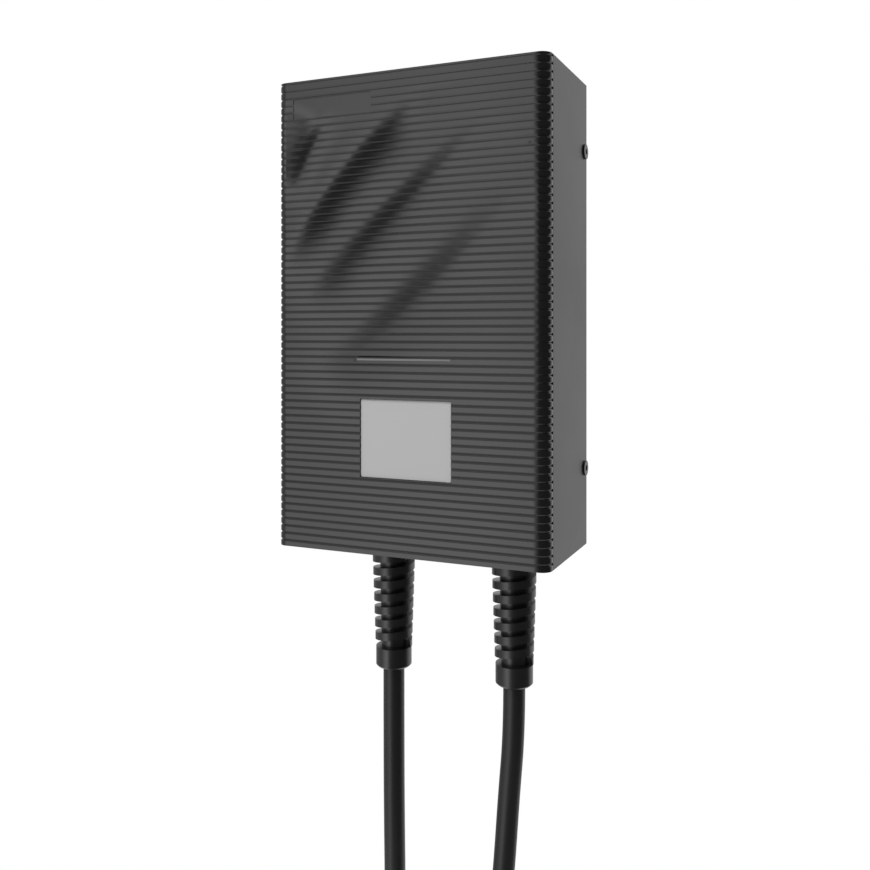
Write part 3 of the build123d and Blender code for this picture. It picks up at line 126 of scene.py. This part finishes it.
def vector_node(tree, *values):
    """A vector from three numbers or sockets."""
    node = tree.nodes.new("ShaderNodeCombineXYZ")
    for socket, value in zip(node.inputs, values):
        feed(tree, socket, value)
    return node.outputs[0]


def ramp_node(tree, value, low, high, start=0.0, end=1.0):
    """A smooth step of one value from low to high, from start to end."""
    node = tree.nodes.new("ShaderNodeMapRange")
    node.interpolation_type = "SMOOTHSTEP"
    feed(tree, node.inputs["Value"], value)
    node.inputs["From Min"].default_value = low
    node.inputs["From Max"].default_value = high
    node.inputs["To Min"].default_value = start
    node.inputs["To Max"].default_value = end
    return node.outputs["Result"]


def seen_rays(tree, *kinds):
    """1 for rays of the named kinds and 0 for all others."""
    path = tree.nodes.new("ShaderNodeLightPath")
    seen = path.outputs[f"Is {kinds[0]} Ray"]
    for kind in kinds[1:]:
        seen = math_node(tree, "MAXIMUM", seen, path.outputs[f"Is {kind} Ray"])
    return seen


def mixed(tree, share, first, second):
    """Two shaders, mixed by the share of the second one."""
    node = tree.nodes.new("ShaderNodeMixShader")
    for socket, value in zip(node.inputs, (share, first, second)):
        feed(tree, socket, value)
    return node.outputs[0]


# Stage
floor_gap = 0.30               # from the lowest point of the object down to the floor
floor_radius = 1.0
floor_glow = 0.78              # share of the floor that shows as white beneath the object
floor_middle = 0.30            # radius within which that share holds
floor_colour = (0.85, 0.85, 0.85, 1)
floor_sides = 96


def pale_floor_material():
    """Pale material that shows white towards the floor's edge and keeps the shadow."""
    material, tree, output = new_material("pale_floor")
    place = tree.nodes.new("ShaderNodeTexCoord").outputs["Object"]
    level = vector_math(tree, "MULTIPLY", place, (1, 1, 0))
    radius = vector_math(tree, "LENGTH", level, result="Value")
    share = ramp_node(tree, radius, floor_middle, floor_radius, floor_glow, 1.0)
    seen = seen_rays(tree, "Camera", "Glossy", "Transmission")
    diffuse = tree.nodes.new("ShaderNodeBsdfDiffuse")
    diffuse.inputs["Color"].default_value = floor_colour
    glow = tree.nodes.new("ShaderNodeEmission")
    shown = math_node(tree, "MULTIPLY", seen, share)
    surface = mixed(tree, shown, diffuse.outputs[0], glow.outputs[0])
    tree.links.new(surface, output.inputs["Surface"])
    return material


def pale_floor():
    """Plain round floor below the object."""
    mesh = bpy.data.meshes.new("floor")
    shape = bmesh.new()
    bmesh.ops.create_circle(shape, cap_ends=True, segments=floor_sides, radius=floor_radius)
    bmesh.ops.translate(shape, verts=shape.verts, vec=(0, 0, cad_low.z - floor_gap))
    shape.to_mesh(mesh)
    shape.free()
    mesh.materials.append(pale_floor_material())
    floor = bpy.data.objects.new("floor", mesh)
    scene.collection.objects.link(floor)


pale_floor()

# Light. Reflections see a white room with a glow in front, a little to the left. The room
# is dimmer at the far left, and it has a dark side to the right of the front, which draws
# the rounded corner and the banks of the folds. Edges are cosines of the angle to a
# direction, at which a change begins and ends.
dark_direction = (0.83, -0.55, 0.0)
dark_edges = (0.292, 0.40)
dark_share = 0.07              # light that the dark side still sends
glow_direction = (-0.307, -0.940, -0.140)
glow_edges = (0.74, 1.0)
glow_strength = 1.6            # light that the middle of the glow adds to the room's own
left_direction = (-1.0, 0.0, 0.0)
left_edges = (0.35, 0.75)
left_share = 0.5               # light that the far left still sends
fill_strength = 0.55           # even light of the room, reflections apart


def toward(tree, place, direction):
    """Cosine between the ray and one direction."""
    return vector_math(tree, "DOT_PRODUCT", place, direction, result="Value")


def background(tree, strength):
    """A white background of one strength, given as a number or as a socket."""
    node = tree.nodes.new("ShaderNodeBackground")
    node.inputs["Color"].default_value = (1, 1, 1, 1)
    feed(tree, node.inputs["Strength"], strength)
    return node.outputs[0]


def studio_world():
    """White to the camera, with the studio in the reflections and an even fill elsewhere."""
    world = bpy.data.worlds.new("studio")
    scene.world = world
    world.use_nodes = True
    tree = world.node_tree
    tree.nodes.clear()
    output = tree.nodes.new("ShaderNodeOutputWorld")
    place = tree.nodes.new("ShaderNodeTexCoord").outputs["Generated"]
    dark = ramp_node(tree, toward(tree, place, dark_direction), *dark_edges, 1.0, dark_share)
    left = ramp_node(tree, toward(tree, place, left_direction), *left_edges, 1.0, left_share)
    nearness = toward(tree, place, glow_direction)
    glow = ramp_node(tree, nearness, *glow_edges, 1.0, 1 + glow_strength)
    shade = math_node(tree, "MULTIPLY", dark, left)
    room = background(tree, math_node(tree, "MULTIPLY", shade, glow))
    fill = background(tree, fill_strength)
    white = background(tree, 1.0)
    lit = mixed(tree, seen_rays(tree, "Glossy"), fill, room)
    surface = mixed(tree, seen_rays(tree, "Camera", "Transmission"), lit, white)
    tree.links.new(surface, output.inputs["Surface"])


studio_world()


def softbox(name, place, target, width, height, power):
    """A rectangular soft light turned towards a target. The world alone draws the gloss."""
    data = bpy.data.lights.new(name, "AREA")
    data.shape = "RECTANGLE"
    data.size = width
    data.size_y = height
    data.energy = power
    lamp = bpy.data.objects.new(name, data)
    scene.collection.objects.link(lamp)
    lamp.location = place
    aim = Vector(target) - Vector(place)
    lamp.rotation_euler = aim.to_track_quat("-Z", "Y").to_euler()
    lamp.visible_glossy = False


softbox(
    "key_softbox",
    place=(-0.9, -1.2, 1.6),
    target=(0, -0.1, -0.1),
    width=1.2,
    height=1.0,
    power=34,
)

# Shared effects
grain_scale = 2200.0           # noise cells in a metre of moulded plastic
grain_detail = 3.0
cloud_scale = 14.0             # cells in a metre of the broad cloud of polish
cloud_detail = 4.0
rib_softness = 0.58            # share of the ribs' own slope that is left in their shading
front_reach = (0.006, 0.003)   # behind the crests, where the front's shading ends and is whole

# Leans of the front's shading, which make its banks look steeper than the thin wall allows.
# Each follows a crease from start to end, in metres from the left and top edges of the
# cover, as in the CAD. A bow above 0 bends the crease towards the lower right, and the
# surface leans that way too, by its slope. Across the crease, the lean sets in and dies
# away at these distances from it. Along the crease, it swells from the start and ebbs
# towards the end over these shares of its length.
fold_banks = [
    # broad lean near the upper left edge, with no form of its own in the CAD
    dict(
        start=(-0.012, 0.110),
        end=(0.028, 0.018),
        bow=0.0,
        slope=0.165,
        sets_in=(-0.032, -0.012),
        dies_away=(-0.002, 0.014),
        swell=(-0.1, 0.3),
        ebb=(0.0, 0.12),
    ),
    # short fold below the pad
    dict(
        start=(0.0134, 0.0795),
        end=(0.0464, 0.0255),
        bow=-0.0040,
        slope=0.23,
        sets_in=(-0.008, 0.0),
        dies_away=(0.005, 0.022),
        swell=(-0.3, 0.4),
        ebb=(-0.1, 0.4),
    ),
    # upper long fold
    dict(
        start=(0.0103, 0.1342),
        end=(0.1243, 0.0142),
        bow=-0.0045,
        slope=0.34,
        sets_in=(-0.014, 0.003),
        dies_away=(0.005, 0.034),
        swell=(-0.20, 0.30),
        ebb=(0.0, 0.35),
    ),
    # middle long fold
    dict(
        start=(0.0204, 0.1710),
        end=(0.1744, 0.0360),
        bow=-0.0030,
        slope=0.26,
        sets_in=(-0.017, 0.004),
        dies_away=(0.006, 0.036),
        swell=(-0.10, 0.22),
        ebb=(0.0, 0.60),
    ),
    # lower long fold
    dict(
        start=(0.0308, 0.2220),
        end=(0.1948, 0.0840),
        bow=0.0070,
        slope=0.19,
        sets_in=(-0.042, 0.012),
        dies_away=(0.013, 0.055),
        swell=(-0.10, 0.15),
        ebb=(0.0, 0.70),
    ),
    # upright strip before the rounded right corner, also without a form of its own
    dict(
        start=(0.2005, 0.340),
        end=(0.2005, 0.0),
        bow=0.0,
        slope=0.13,
        sets_in=(-0.0045, 0.0015),
        dies_away=(0.003, 0.008),
        swell=(-0.2, -0.1),
        ebb=(-0.2, -0.1),
    ),
]


def new_group(name, numbers, outputs):
    """An empty node group with number inputs, given as name and default, and typed outputs."""
    group = bpy.data.node_groups.new(name, "ShaderNodeTree")
    for socket, value in numbers:
        entry = group.interface.new_socket(
            socket, in_out="INPUT", socket_type="NodeSocketFloat"
        )
        entry.default_value = value
    for socket, kind in outputs:
        group.interface.new_socket(socket, in_out="OUTPUT", socket_type=kind)
    return group, group.nodes.new("NodeGroupInput"), group.nodes.new("NodeGroupOutput")


def placed_group(tree, group):
    """A node of a shared effect in a material's tree."""
    node = tree.nodes.new("ShaderNodeGroup")
    node.node_tree = group
    return node


def noise_node(tree, place, scale, detail):
    """Noise of one scale and detail over the piece."""
    node = tree.nodes.new("ShaderNodeTexNoise")
    node.inputs["Detail"].default_value = detail
    feed(tree, node.inputs["Vector"], place)
    feed(tree, node.inputs["Scale"], scale)
    return node.outputs["Fac"]


def moulded_grain_group():
    """Fine grain of a moulded surface, and a faint broad cloud of polish."""
    group, given, put_out = new_group(
        "moulded_grain",
        [("Grain Scale", grain_scale), ("Cloud Scale", cloud_scale)],
        [("Height", "NodeSocketFloat"), ("Cloud", "NodeSocketFloat")],
    )
    place = group.nodes.new("ShaderNodeTexCoord").outputs["Object"]
    grain = noise_node(group, place, given.outputs["Grain Scale"], grain_detail)
    cloud = noise_node(group, place, given.outputs["Cloud Scale"], cloud_detail)
    group.links.new(grain, put_out.inputs["Height"])
    group.links.new(cloud, put_out.inputs["Cloud"])
    return group


def bank_lean(group, fold, from_left, above_top):
    """Lean of one bank to the right and upwards, at a place on the cover."""
    run_x = fold["end"][0] - fold["start"][0]
    run_z = fold["start"][1] - fold["end"][1]
    length = hypot(run_x, run_z)
    along_x = run_x / length
    along_z = run_z / length
    from_x = math_node(group, "SUBTRACT", from_left, fold["start"][0])
    from_z = math_node(group, "ADD", above_top, fold["start"][1])
    share_x = math_node(group, "MULTIPLY", from_x, along_x / length)
    share = math_node(group, "MULTIPLY_ADD", from_z, along_z / length, share_x)
    rest = math_node(group, "SUBTRACT", 1.0, share)
    across_z = math_node(group, "MULTIPLY", from_z, -along_x)
    straight = math_node(group, "MULTIPLY_ADD", from_x, along_z, across_z)
    # the arch is a quarter at the middle of the crease, where the bow is whole
    arch = math_node(group, "MULTIPLY", share, rest)
    bend = math_node(group, "MULTIPLY", arch, 4 * fold["bow"])
    across = math_node(group, "SUBTRACT", straight, bend)
    swelling = ramp_node(group, share, *fold["swell"])
    ebbing = ramp_node(group, rest, *fold["ebb"])
    rising = ramp_node(group, across, *fold["sets_in"])
    fading = ramp_node(group, across, *fold["dies_away"], fold["slope"], 0.0)
    lengthwise = math_node(group, "MULTIPLY", swelling, ebbing)
    crosswise = math_node(group, "MULTIPLY", rising, fading)
    lean = math_node(group, "MULTIPLY", lengthwise, crosswise)
    lean_right = math_node(group, "MULTIPLY", lean, along_z)
    lean_up = math_node(group, "MULTIPLY", lean, -along_x)
    return lean_right, lean_up


def folded_front_group():
    """Normal of the front, with softened ribs and with the lean of every bank added."""
    group, _, put_out = new_group("folded_front", [], [("Normal", "NodeSocketVector")])
    cover_low, cover_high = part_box("front_cover")
    place = group.nodes.new("ShaderNodeTexCoord").outputs["Object"]
    axes = group.nodes.new("ShaderNodeSeparateXYZ")
    group.links.new(place, axes.inputs[0])
    x, y, z = axes.outputs
    from_left = math_node(group, "SUBTRACT", x, cover_low[0])
    above_top = math_node(group, "SUBTRACT", z, cover_high[2])
    lean_x = 0.0
    lean_z = 0.0
    for fold in fold_banks:
        lean_right, lean_up = bank_lean(group, fold, from_left, above_top)
        lean_x = math_node(group, "ADD", lean_x, lean_right)
        lean_z = math_node(group, "ADD", lean_z, lean_up)
    front = ramp_node(group, y, *(cover_low[1] + reach for reach in front_reach))
    front_x = math_node(group, "MULTIPLY", lean_x, front)
    front_z = math_node(group, "MULTIPLY", lean_z, front)
    bank = vector_node(group, front_x, 0.0, front_z)
    rib_share = math_node(group, "MULTIPLY_ADD", front, rib_softness - 1, 1.0)
    softness = vector_node(group, 1.0, 1.0, rib_share)
    surface = group.nodes.new("ShaderNodeNewGeometry").outputs["Normal"]
    leaned = vector_math(group, "MULTIPLY_ADD", surface, softness, bank)
    group.links.new(vector_math(group, "NORMALIZE", leaned), put_out.inputs["Normal"])
    return group


moulded_grain = moulded_grain_group()
folded_front = folded_front_group()

# Finishes, kept under the names of the CAD's material slots
grain_depth = 0.0002           # metres that the grain's relief stands for
polish_swing = 0.04            # roughness that the cloud adds and takes away
least_rough = 0.03
coat_rough = 0.12
finishes = {}


def tinted(colour, factor):
    """A colour made lighter or darker by one factor."""
    return tuple(min(1.0, part * factor) for part in colour) + (1.0,)


def grained_finish(
    name,
    colour,
    rough,
    grain=grain_scale,
    bump=0.05,
    spread=0.12,
    level=0.5,
    metal=0.0,
    coat=0.0,
    front=None,
):
    """Plastic, rubber or metal with a fine grain, uneven polish and slightly clouded colour.

    A front is the group whose normal the grain lies on. The finish is kept by its name.
    """
    material, tree, output = new_material(name)
    shader = tree.nodes.new("ShaderNodeBsdfPrincipled")
    shader.inputs["Metallic"].default_value = metal
    shader.inputs["Specular IOR Level"].default_value = level
    shader.inputs["Coat Weight"].default_value = coat
    shader.inputs["Coat Roughness"].default_value = coat_rough
    surface = placed_group(tree, moulded_grain)
    surface.inputs["Grain Scale"].default_value = grain
    tone = tree.nodes.new("ShaderNodeMix")
    tone.data_type = "RGBA"
    tone.inputs["A"].default_value = tinted(colour, 1 - spread)
    tone.inputs["B"].default_value = tinted(colour, 1 + spread)
    tree.links.new(surface.outputs["Cloud"], tone.inputs["Factor"])
    tree.links.new(tone.outputs["Result"], shader.inputs["Base Color"])
    polish = tree.nodes.new("ShaderNodeMapRange")
    polish.inputs["To Min"].default_value = max(least_rough, rough - polish_swing)
    polish.inputs["To Max"].default_value = min(1.0, rough + polish_swing)
    tree.links.new(surface.outputs["Cloud"], polish.inputs["Value"])
    tree.links.new(polish.outputs["Result"], shader.inputs["Roughness"])
    relief = tree.nodes.new("ShaderNodeBump")
    relief.inputs["Strength"].default_value = bump
    relief.inputs["Distance"].default_value = grain_depth
    tree.links.new(surface.outputs["Height"], relief.inputs["Height"])
    if front is not None:
        tree.links.new(placed_group(tree, front).outputs["Normal"], relief.inputs["Normal"])
    tree.links.new(relief.outputs["Normal"], shader.inputs["Normal"])
    tree.links.new(shader.outputs[0], output.inputs["Surface"])
    finishes[name] = material


# Casing, seals and what the box hangs on
grained_finish("housing_plastic", (0.012, 0.0121, 0.0124), rough=0.38, bump=0.06, level=0.32)
grained_finish("cover_plastic", (0.0095, 0.0096, 0.0098), rough=0.22, bump=0.03, front=folded_front)
grained_finish("seal_rubber", (0.02, 0.02, 0.02), rough=0.7, grain=1500, bump=0.15)
grained_finish("bracket_steel", (0.42, 0.43, 0.44), rough=0.38, grain=900, bump=0.1, metal=0.85)
grained_finish("dark_screws", (0.03, 0.03, 0.031), rough=0.35, grain=1800, bump=0.06, metal=0.6)
grained_finish("steel_screws", (0.6, 0.6, 0.59), rough=0.3, grain=1800, metal=1.0)

# Display and status light
grained_finish(
    "display_glass",
    (0.475, 0.476, 0.478),
    rough=0.42,
    grain=3000,
    bump=0.01,
    spread=0.02,
    level=0.3,
)
grained_finish("light_guide", (0.15, 0.15, 0.152), rough=0.35, grain=1800, bump=0.02, spread=0.05)
grained_finish("display_plastic", (0.5, 0.5, 0.51), rough=0.5)
grained_finish("lamp_white", (0.8, 0.79, 0.72), rough=0.3)

# Boards and what they carry
grained_finish("board_laminate", (0.015, 0.11, 0.045), rough=0.32, grain=1200, spread=0.25, coat=0.3)
grained_finish("chip_black", (0.02, 0.02, 0.02), rough=0.5)
grained_finish("radio_shield", (0.62, 0.61, 0.59), rough=0.3, grain=1600, metal=1.0)
grained_finish("terminal_plastic", (0.16, 0.19, 0.2), rough=0.45)
grained_finish("sensor_plastic", (0.02, 0.02, 0.024), rough=0.45)
grained_finish("copper_link", (0.75, 0.36, 0.2), rough=0.28, grain=1400, metal=1.0)
grained_finish("relay_plastic", (0.02, 0.024, 0.03), rough=0.38)
grained_finish("module_plastic", (0.025, 0.025, 0.025), rough=0.4)
grained_finish("capacitor_plastic", (0.05, 0.07, 0.24), rough=0.3)
grained_finish("varistor_epoxy", (0.03, 0.08, 0.35), rough=0.35)
grained_finish("fuse_ceramic", (0.8, 0.78, 0.72), rough=0.25)
grained_finish("header_plastic", (0.02, 0.02, 0.02), rough=0.45)
grained_finish("ribbon_grey", (0.32, 0.33, 0.35), rough=0.5)

# Entries, cables and cores
grained_finish("boot_rubber", (0.010, 0.010, 0.0102), rough=0.34, grain=1500, bump=0.10, level=0.60)
grained_finish("cable_jacket", (0.011, 0.011, 0.0113), rough=0.44, grain=1300, bump=0.14, level=0.42)
grained_finish("gland_nylon", (0.012, 0.012, 0.0122), rough=0.42, grain=1500, bump=0.08)
grained_finish("clamp_nylon", (0.03, 0.03, 0.03), rough=0.5)
grained_finish("live_brown", (0.13, 0.05, 0.02), rough=0.4)
grained_finish("neutral_blue", (0.02, 0.1, 0.42), rough=0.4)
grained_finish("earth_green", (0.1, 0.36, 0.05), rough=0.4)
grained_finish("pilot_white", (0.7, 0.7, 0.66), rough=0.4)
grained_finish("tie_fabric", (0.014, 0.014, 0.014), rough=0.85, grain=900, bump=0.5)
grained_finish("core_plastic", (0.03, 0.03, 0.03), rough=0.4)
grained_finish("ferrule_tin", (0.66, 0.65, 0.62), rough=0.25, grain=1500, metal=1.0)

# Connector
grained_finish("connector_plastic", (0.014, 0.014, 0.0145), rough=0.4, grain=1500, bump=0.12)
grained_finish("insert_plastic", (0.03, 0.03, 0.032), rough=0.45)
grained_finish("contact_silver", (0.78, 0.75, 0.68), rough=0.22, grain=1500, bump=0.03, metal=1.0)
grained_finish("cap_rubber", (0.012, 0.012, 0.012), rough=0.6, grain=1300, bump=0.15, level=0.4)

# Carried CAD nodes take the finish of their own slot
node_slots = {part["node"]: part["material_slot"] for part in frame["record"]["subparts"]}
for node_name, node in nodes.items():
    node.data.materials.clear()
    node.data.materials.append(finishes[node_slots[node_name]])

# Free cables. The points repeat the CAD routes, and the turns of each coil are more points
# of the same spline. A coil winds inwards in one column, crosses over at its inside and
# winds outwards in the other column.
cable_diameter = 0.016
coil_step = 0.0164             # from one turn to the next
full_turn = 360                # degrees
turn_points = 16               # points in a full turn
control_share = 0.981          # a turn's radius as a share of its control points' radius
entry_angle = 120              # degrees at which a cable reaches its coil
crossing = 60                  # degrees that the change of column takes

supply_route = [
    (-0.0346, -0.0430, -0.2660),
    (-0.0346, -0.0430, -0.3350),
    (-0.0343, -0.0426, -0.3950),
    (-0.0346, -0.0406, -0.4416),
    (-0.0466, -0.0368, -0.4747),
    (-0.0693, -0.0330, -0.5018),
    (-0.0846, -0.0315, -0.5106),
]
supply_coil = dict(
    centre=(-0.0344, -0.5975),
    entry_y=-0.0315,
    exit_y=-0.0151,
    outer_radius=0.1004,
    layers=2,
)
supply_tail_route = [
    (-0.1348, -0.0151, -0.5975),
    (-0.1352, -0.0160, -0.6360),
    (-0.1352, -0.0160, -0.6720),
]
charging_route = [
    (0.0618, -0.0430, -0.2660),
    (0.0618, -0.0430, -0.3000),
    (0.0579, -0.0436, -0.3480),
    (0.0556, -0.0450, -0.3880),
    (0.0532, -0.0470, -0.4230),
    (0.0412, -0.0496, -0.4528),
    (0.0192, -0.0511, -0.4780),
    (0.0047, -0.0515, -0.4864),
]
charging_coil = dict(
    centre=(0.0712, -0.6016),
    entry_y=-0.0515,
    exit_y=-0.0679,
    outer_radius=0.1330,
    layers=5,
)
charging_tail_route = [
    (-0.0618, -0.0679, -0.6016),
    (-0.0624, -0.0672, -0.6400),
    (-0.0624, -0.0672, -0.6760),
]


def coil_turns(centre, entry_y, exit_y, outer_radius, layers):
    """Points of a coil: a spiral inwards, a change of column and a spiral outwards."""
    one_way = full_turn * (layers - 1)
    whole = 2 * one_way + crossing
    step = full_turn / turn_points
    points = []
    for number in range(1, int(whole / step)):
        wound = number * step
        inwards = min(wound, one_way)
        across = min(max(wound - one_way, 0), crossing) / crossing
        outwards = max(wound - one_way - crossing, 0)
        narrowing = coil_step * (inwards - outwards) / full_turn
        radius = (outer_radius - narrowing) / control_share
        angle = radians(entry_angle + wound)
        y = entry_y + (exit_y - entry_y) * across
        points.append((centre[0] + radius * cos(angle), y, centre[1] + radius * sin(angle)))
    return points


def cable(name, points):
    """One cable as a smooth NURBS curve through its route and coil."""
    data = bpy.data.curves.new(name, "CURVE")
    data.dimensions = "3D"
    spline = data.splines.new("NURBS")
    spline.points.add(len(points) - 1)
    for control, point in zip(spline.points, points):
        control.co = (*point, 1)
    spline.order_u = 3
    spline.use_endpoint_u = True
    data.resolution_u = 8
    data.bevel_depth = cable_diameter / 2
    data.bevel_resolution = 5
    data.use_fill_caps = True
    piece = bpy.data.objects.new(name, data)
    scene.collection.objects.link(piece)
    data.materials.append(finishes["cable_jacket"])
    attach(piece, "root")
    return piece


supply_turns = coil_turns(**supply_coil)
supply_cord = cable("supply_cord", supply_route + supply_turns + supply_tail_route)
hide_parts("supply_cable", "supply_coil", "supply_tail")

charging_turns = coil_turns(**charging_coil)
charging_cord = cable("charging_cord", charging_route + charging_turns + charging_tail_route)
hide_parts("charging_cable", "charging_coil", "charging_tail")
